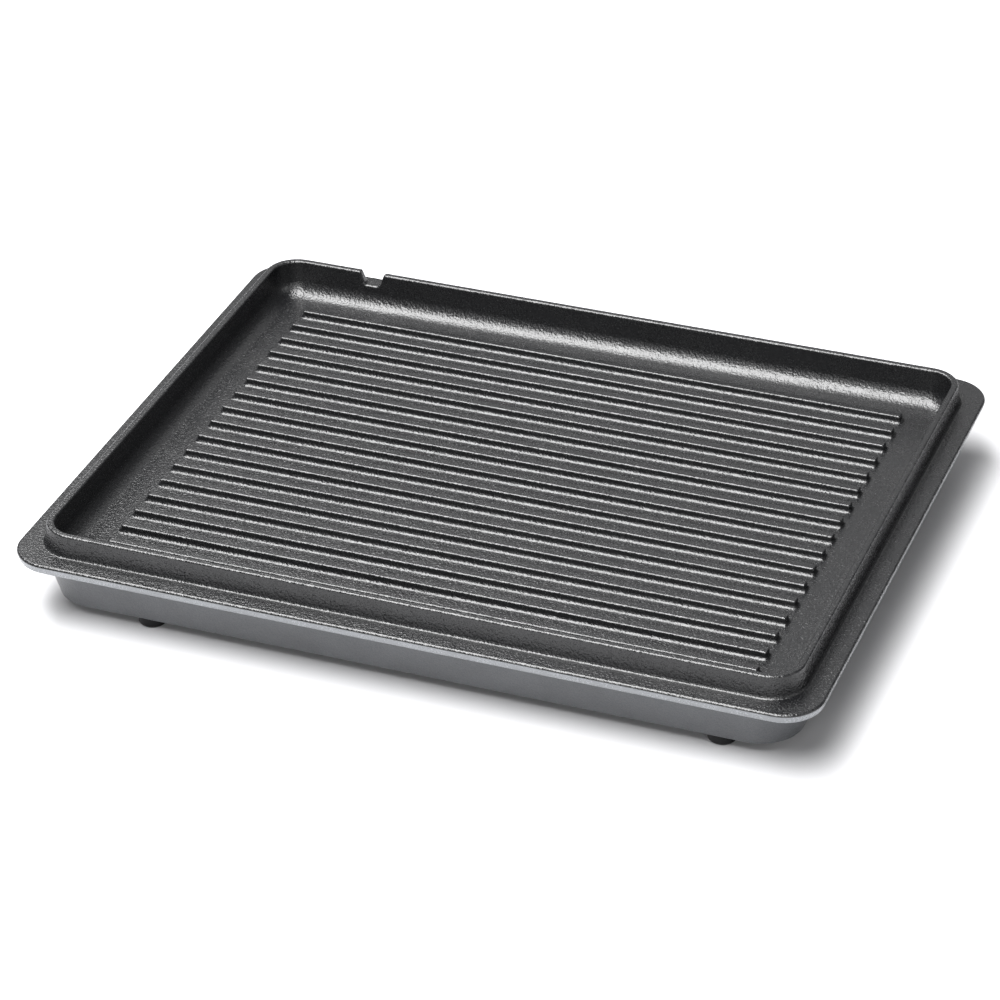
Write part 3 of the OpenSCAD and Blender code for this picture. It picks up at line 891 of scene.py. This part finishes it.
COVER_POINTS = [(-158, 80), (158, 80), (-158, -80), (158, -80), (-70, 120), (70, 120), (-70, -120), (70, -120)]
FOOT_POINTS = [(-127.5, -129.3), (144.0, -129.3), (-127.5, 129.3), (144.0, 129.3)]
REFLECTOR_POINTS = [(-50, 40), (50, 40), (-50, -65), (50, -65)]
CLAMPS = [(-128, -10, 0), (128, -10, 0), (-84, 12, 0), (84, 12, 0), (-60, -90, 90), (60, -90, 90)]
CLAMP_SCREWS = [(x + s * 11.5 * math.cos(math.radians(t)), y + s * 11.5 * math.sin(math.radians(t)))
                for x, y, t in CLAMPS for s in (-1, 1)]
screw_set("cover_screws", COVER_POINTS, 6, 8, 19, 3.3, 1.45)
screw_set("foot_screws", FOOT_POINTS, 0.7, 2.5, 16, 3.4, 1.95)
screw_set("reflector_screws", REFLECTOR_POINTS, 9.5, 11.2, UNDER_Z + 1, 3.4, 1.75)
screw_set("clamp_screws", CLAMP_SCREWS, TUBE_Z - 3, TUBE_Z - 1, TUBE_Z + 6, 3.2, 1.75)
screw_set("socket_screws", [(-31, 125), (31, 125)], UNDER_Z - 7.1, UNDER_Z - 5.1, UNDER_Z + 2.4, 3.1, 1.5)
screw_set("earth_screw", [(10, 110)], UNDER_Z - 2.6, UNDER_Z - 0.8, UNDER_Z + 2.4, 2.8, 1.5)

# ------------------------------------------------------------------ base cover

def rounded_loop(cx, cy, r, z, n=10, per=24, at=(0, 0)):
    """Rounded rectangle with corner centres at (+-cx, +-cy) and radius r."""
    pts = []
    for k, (sx, sy) in enumerate(((1, -1), (1, 1), (-1, 1), (-1, -1))):
        a0 = -90 + 90 * k
        for j in range(n + 1):
            a = math.radians(a0 + 90 * j / n)
            pts.append((at[0] + sx * cx + r * math.cos(a), at[1] + sy * cy + r * math.sin(a), z))
        # along the straight to the next corner
        nx = ((1, 1), (-1, 1), (-1, -1), (1, -1))[k]
        ax, ay = pts[-1][0], pts[-1][1]
        a = math.radians(a0 + 90)
        bx, by = at[0] + nx[0] * cx + r * math.cos(a), at[1] + nx[1] * cy + r * math.sin(a)
        for j in range(1, per):
            pts.append((ax + (bx - ax) * j / per, ay + (by - ay) * j / per, z))
    return pts


def in_loop(x, y, loop):
    inside = False
    n = len(loop)
    j = n - 1
    for i in range(n):
        xi, yi, xj, yj = loop[i][0], loop[i][1], loop[j][0], loop[j][1]
        if (yi > y) != (yj > y) and x < (xj - xi) * (y - yi) / (yj - yi) + xi:
            inside = not inside
        j = i
    return inside


def fill_between(B, loops):
    """Triangles over a flat region: inside an odd number of the loops."""
    pts, edges, ids = [], [], []
    flat = []
    for lp in loops:
        s0 = len(pts)
        flat.append([B.v[i] for i in lp])
        for k, vi in enumerate(lp):
            pts.append(Vector((B.v[vi][0], B.v[vi][1])))
            ids.append(vi)
            edges.append((s0 + k, s0 + (k + 1) % len(lp)))
    vs, es, fs, ov, oe, of_ = delaunay_2d_cdt(pts, edges, [], 0, 1e-6, True)
    for tri in fs:
        c = sum((vs[k] for k in tri), Vector((0, 0))) / len(tri)
        if sum(in_loop(c.x, c.y, lp) for lp in flat) % 2 == 1:
            B.f.append(tuple(ids[ov[k][0]] for k in tri))


def build_cover():
    B = Build()
    z0, z1 = 8.0, 9.0
    cx, cy = HW - SKIRT_C, HD - SKIRT_C
    R = 15.9
    bend = 1.5

    def outer(r, z):
        return B.add_points(rounded_loop(cx, cy, r, z, 16, 40))
    # edge: bend, lip, and back down inside
    seq = [outer(r, z) for r, z in arc(R - bend, z0 + bend, bend, -90, 0, 8)]
    seq += [outer(R, 11.2), outer(R - 0.2, 11.4), outer(R - 0.8, 11.4), outer(R - 1.0, 11.2)]
    seq += [outer(r, z) for r, z in arc(R - bend, z0 + bend, bend - 1.0, 0, -90, 4)]
    for a, b in zip(seq[:-1], seq[1:]):
        B.bridge(a, b)
    # stiffening bead, pressed inward
    def bead(off, dz, zz):
        return B.add_points(rounded_loop(143 - 14, 105 - 14, 14 + off, zz + dz, 12, 40))
    steps = [(-4 + k * 0.5, 0.8 * 0.5 * (1 + math.cos(math.pi * (-4 + k * 0.5) / 4))) for k in range(17)]
    low = [bead(o, d, z0) for o, d in steps]
    top = [bead(o, d, z1) for o, d in steps]
    for a, b in zip(low[:-1], low[1:]):
        B.bridge(a, b)
    for a, b in zip(top[:-1], top[1:]):
        B.bridge(b, a)

    def hole(outline):
        """Hole through the sheet with coined edges; outline(off, z) gives its points grown by off."""
        rr = 0.3
        prof = [(rr * (1 - math.sin(math.radians(t))), z0 + rr * (1 - math.cos(math.radians(t)))) for t in (0, 30, 60, 90)]
        prof += [(rr * (1 - math.cos(math.radians(t))), z1 - rr * (1 - math.sin(math.radians(t)))) for t in (0, 30, 60, 90)]
        lps = [B.add_points(outline(o, z)) for o, z in prof]
        for a, b in zip(lps[:-1], lps[1:]):
            B.bridge(b, a)
        return lps[0], lps[-1]

    def circle(x, y, r, n):
        return lambda o, z: [(x + (r + o) * math.cos(2 * math.pi * k / n), y + (r + o) * math.sin(2 * math.pi * k / n), z) for k in range(n)]

    def slot(x, y, length, w):
        def pts(o, z):
            r = w / 2 + o
            h = (length - w) / 2
            p = [(x + h + r * math.cos(math.radians(a)), y + r * math.sin(math.radians(a)), z) for a in range(-90, 91, 15)]
            p += [(x - h + r * math.cos(math.radians(a)), y + r * math.sin(math.radians(a)), z) for a in range(90, 271, 15)]
            return p
        return pts
    ring_holes = [hole(circle(x, y, 2, 24)) for x, y in COVER_POINTS]
    slots = [hole(slot(s * 88, i * 14, 64, 3.4)) for s in (-1, 1) for i in range(-3, 4)]
    fill_between(B, [seq[0], low[-1]] + [h[0] for h in ring_holes])
    fill_between(B, [seq[-1], top[-1]] + [h[1] for h in ring_holes])
    fill_between(B, [low[0]] + [h[0] for h in slots])
    fill_between(B, [top[0]] + [h[1] for h in slots])
    me = bpy.data.meshes.new("pressed_base_cover")
    me.from_pydata([tuple(c * MM for c in p) for p in B.v], [], B.f)
    ob = bpy.data.objects.new("pressed_base_cover", me)
    scene.collection.objects.link(ob)
    weld_out(ob)
    # clear of the foot bosses, through the edge and its lip
    C = Build()
    for x, y in FOOT_POINTS:
        C.lathe([(0, 6.5), (8, 6.5), (8, 13), (0, 13)], 56, (x, y, 0))
    cut_away(ob, C)
    me = ob.data
    me.materials.clear()
    me.materials.append(M_PAINT)
    finish_shading(ob, 50)
    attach(ob, BODY)
    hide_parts("base_cover")


def cut_away(ob, cutter):
    """Cuts the closed solid in cutter out of ob, and keeps the result as its mesh."""
    import bmesh
    cme = bpy.data.meshes.new("cutter")
    cme.from_pydata([tuple(c * MM for c in p) for p in cutter.v], [], cutter.f)
    bm = bmesh.new()
    bm.from_mesh(cme)
    bmesh.ops.recalc_face_normals(bm, faces=bm.faces)
    bm.to_mesh(cme)
    bm.free()
    cob = bpy.data.objects.new("cutter", cme)
    scene.collection.objects.link(cob)
    mod = ob.modifiers.new("cut", "BOOLEAN")
    mod.operation = "DIFFERENCE"
    mod.solver = "EXACT"
    mod.object = cob
    dg = bpy.context.evaluated_depsgraph_get()
    new = bpy.data.meshes.new_from_object(ob.evaluated_get(dg))
    ob.modifiers.clear()
    ob.data = new
    bpy.data.objects.remove(cob)


def weld_out(ob):
    import bmesh
    bm = bmesh.new()
    bm.from_mesh(ob.data)
    bmesh.ops.remove_doubles(bm, verts=bm.verts, dist=2e-6)
    bmesh.ops.recalc_face_normals(bm, faces=bm.faces)
    print(ob.name, "open edges", sum(len(e.link_faces) != 2 for e in bm.edges))
    bm.to_mesh(ob.data)
    bm.free()


build_cover()

# ------------------------------------------------------------------ socket housing

def build_housing():
    B = Build()
    z0, z1 = 12.0, UNDER_Z - 0.1
    zc = (z0 + z1) / 2

    def loop(hx, hz, r, y, n=8):
        p = []
        for x, z, t, u in rounded_xz(hx, hz, r, n):
            p.append((x, y, zc + z))
        return B.add_points(p)

    def rounded_xz(hx, hz, r, n):
        out = []
        for k, (sx, sz) in enumerate(((1, -1), (1, 1), (-1, 1), (-1, -1))):
            for j in range(n + 1):
                a = math.radians(-90 + 90 * k + 90 * j / n)
                out.append((sx * (hx - r) + r * math.cos(a), sz * (hz - r) + r * math.sin(a), 0, 0))
        return out
    hz = (z1 - z0) / 2
    c = 0.5
    seq = [loop(24.8 - c, hz - c, 0.7, 120)]
    seq += [loop(24.8 - c + c * math.sin(math.radians(t)), hz - c + c * math.sin(math.radians(t)), 0.7 + c * math.sin(math.radians(t)),
                 120 + c * (1 - math.cos(math.radians(t)))) for t in (30, 60, 90)]
    seq += [loop(24.8 - c + c * math.cos(math.radians(t)), hz - c + c * math.cos(math.radians(t)), 0.7 + c * math.cos(math.radians(t)),
                 140 - c + c * math.sin(math.radians(t))) for t in (0, 30, 60, 90)]
    iz = (z1 - z0 - 3.6) / 2
    c = 0.4
    seq += [loop(21 + c * math.cos(math.radians(t)), iz + c * math.cos(math.radians(t)), 0.8 + c * math.cos(math.radians(t)),
                 140 - c + c * math.sin(math.radians(t))) for t in (60, 30)]
    seq += [loop(21, iz, 0.8, 140 - c), loop(20.9, iz - 0.1, 0.8, 126.5), loop(20.5, iz - 0.5, 0.5, 126)]
    for a, b in zip(seq[:-1], seq[1:]):
        B.bridge(a, b)
    B.cap(seq[0], True)
    B.cap(seq[-1])
    # raised rings where the pins and the probe come through
    for x, r0, r1 in ((-16, 2.5, 3.9), (16, 2.5, 3.9), (0, 3.3, 4.3)):
        B.lathe([(r0, -1.0), (r0, 0.7), (r0 + 0.2, 0.9), (r1 - 0.3, 0.9), (r1, 0.6), (r1, -1.0)], 40, (x, 126, TUBE_Z), axis="Y2", closed_profile=True)
    # ears
    for s in (-1, 1):
        lo = z1 - 5
        def ring_xy(d, z):
            p = []
            for px, py, a in ((36, 120, -90), (36, 129, 0), (24, 129, 90), (24, 120, 180)):
                rr = 2.0 if px == 36 else 0.6
                ccx = px - rr if px == 36 else px + rr
                ccy = py + rr if py == 120 else py - rr
                for q in arc(ccx, ccy, max(rr - d, 0.05), a, a + 90, 5):
                    p.append((s * q[0], q[1], z))
            return B.add_points(p)
        lps = [ring_xy(0.4, lo), ring_xy(0.12, lo + 0.12), ring_xy(0, lo + 0.4), ring_xy(0, z1 - 0.3), ring_xy(0.3, z1)]
        for a, b in zip(lps[:-1], lps[1:]):
            B.bridge(a, b)
        B.cap(lps[0], True)
        B.cap(lps[-1])
    ob = make_object("socket_housing_moulded", B.v, B.f, M_PHENOLIC, sharp=40)
    weld_out(ob)
    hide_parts("socket_housing")


build_housing()

# ------------------------------------------------------------------ feet

def build_feet():
    for name in ("foot_front_left", "foot_front_right", "foot_rear_left", "foot_rear_right"):
        lo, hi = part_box(name)
        c = ((lo.x + hi.x) / 2 / MM, (lo.y + hi.y) / 2 / MM, 0)
        B = Build()
        prof = [(2.2, 6.0), (6.55, 6.0)] + arc(6.55, 5.6, 0.4, 90, 0, 4)[1:] + [(6.9, 4.6), (6.7, 3.2)]
        prof += arc(4.95, 1.7, 1.7, 12, -90, 10)
        prof += [(4.8, 0.0)] + arc(4.8, 0.4, 0.4, -90, -180, 4)[1:]
        prof += [(4.25, 2.9), (4.0, 3.2), (2.4, 3.2), (2.2, 3.4)]
        B.lathe(prof, 72, c, closed_profile=True)
        ob = make_object(name + "_moulded", B.v, B.f, M_FOOT, sharp=40)
        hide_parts(name)


build_feet()

# ------------------------------------------------------------------ stage, light and camera

def build_stage():
    me = bpy.data.meshes.new("floor")
    s = 6.0
    me.from_pydata([(-s, -s, 0), (s, -s, 0), (s, s, 0), (-s, s, 0)], [], [(0, 1, 2, 3)])
    ob = bpy.data.objects.new("floor", me)
    scene.collection.objects.link(ob)
    m, nt, b = new_material("stage_white")
    vec = object_coords(nt)
    n = noise(nt, vec, 3.0, 2.0, 0.5)
    col = mix_color(nt, n, (0.50, 0.50, 0.51), (0.52, 0.52, 0.53))
    nt.links.new(col, b.inputs["Base Color"])
    b.inputs["Roughness"].default_value = 0.6
    b.inputs["Specular IOR Level"].default_value = 0.2
    me.materials.append(m)


build_stage()


def area_light(name, az, el, dist, size, power, size_y=None, target=(0, 0, 0.03), color=(1, 1, 1)):
    """Azimuth 0 is in front of the object (towards -Y), 90 to its right (+X)."""
    a, e = math.radians(az), math.radians(el)
    d = Vector((math.sin(a) * math.cos(e), -math.cos(a) * math.cos(e), math.sin(e)))
    L = bpy.data.lights.new(name, "AREA")
    L.shape = "RECTANGLE"
    L.size = size
    L.size_y = size_y or size
    L.energy = power
    L.color = color
    o = bpy.data.objects.new(name, L)
    scene.collection.objects.link(o)
    o.location = Vector(target) + d * dist
    o.rotation_euler = d.to_track_quat("Z", "Y").to_euler()
    return o


LIGHTS = [
    # name, azimuth, elevation, distance, size, power, size_y
    ("key_overhead", 300, 74, 1.6, 2.5, 125.0, 1.0),
    ("back_panel", 196, 30, 2.4, 2.8, 7.5, 1.3),
    ("left_panel", 285, 25, 2.2, 1.2, 2.5, 0.9),
    ("front_panel", 15, 22, 2.4, 2.4, 20.0, 0.8),
    ("right_panel", 85, 26, 2.4, 1.6, 9.0, 0.9),
]
for nm, az, el, dist, size, power, sy in LIGHTS:
    area_light(nm, az, el, dist, size, power, sy)

world = bpy.data.worlds.new("studio")
scene.world = world
world.use_nodes = True
bg = world.node_tree.nodes["Background"]
bg.inputs["Color"].default_value = (0.97, 0.98, 1.0, 1)
bg.inputs["Strength"].default_value = 0.15


def build_camera():
    f_px, az, el, roll = 3965.5, math.radians(20.91), math.radians(31.81), math.radians(-0.645)
    tx, ty, dist, unit = 0.0170, 0.0370, 4.8668, 0.380
    back = Vector((math.sin(az) * math.cos(el), -math.cos(az) * math.cos(el), math.sin(el)))
    right = Vector((math.cos(az), math.sin(az), 0))
    up = back.cross(right)
    right2 = right * math.cos(roll) + up * math.sin(roll)
    up2 = -right * math.sin(roll) + up * math.cos(roll)
    pos = (back * dist - right2 * tx - up2 * ty) * unit + Vector((0, -0.0011, 0.033))
    cam = bpy.data.cameras.new("photo_view")
    cam.sensor_width = 36.0
    cam.lens = f_px * 36.0 / 1000.0
    cam.clip_start = 0.01
    cam.clip_end = 50
    o = bpy.data.objects.new("photo_view", cam)
    scene.collection.objects.link(o)
    m = Matrix((right2, up2, back)).transposed().to_4x4()
    m.translation = pos
    o.matrix_world = m
    scene.camera = o


build_camera()
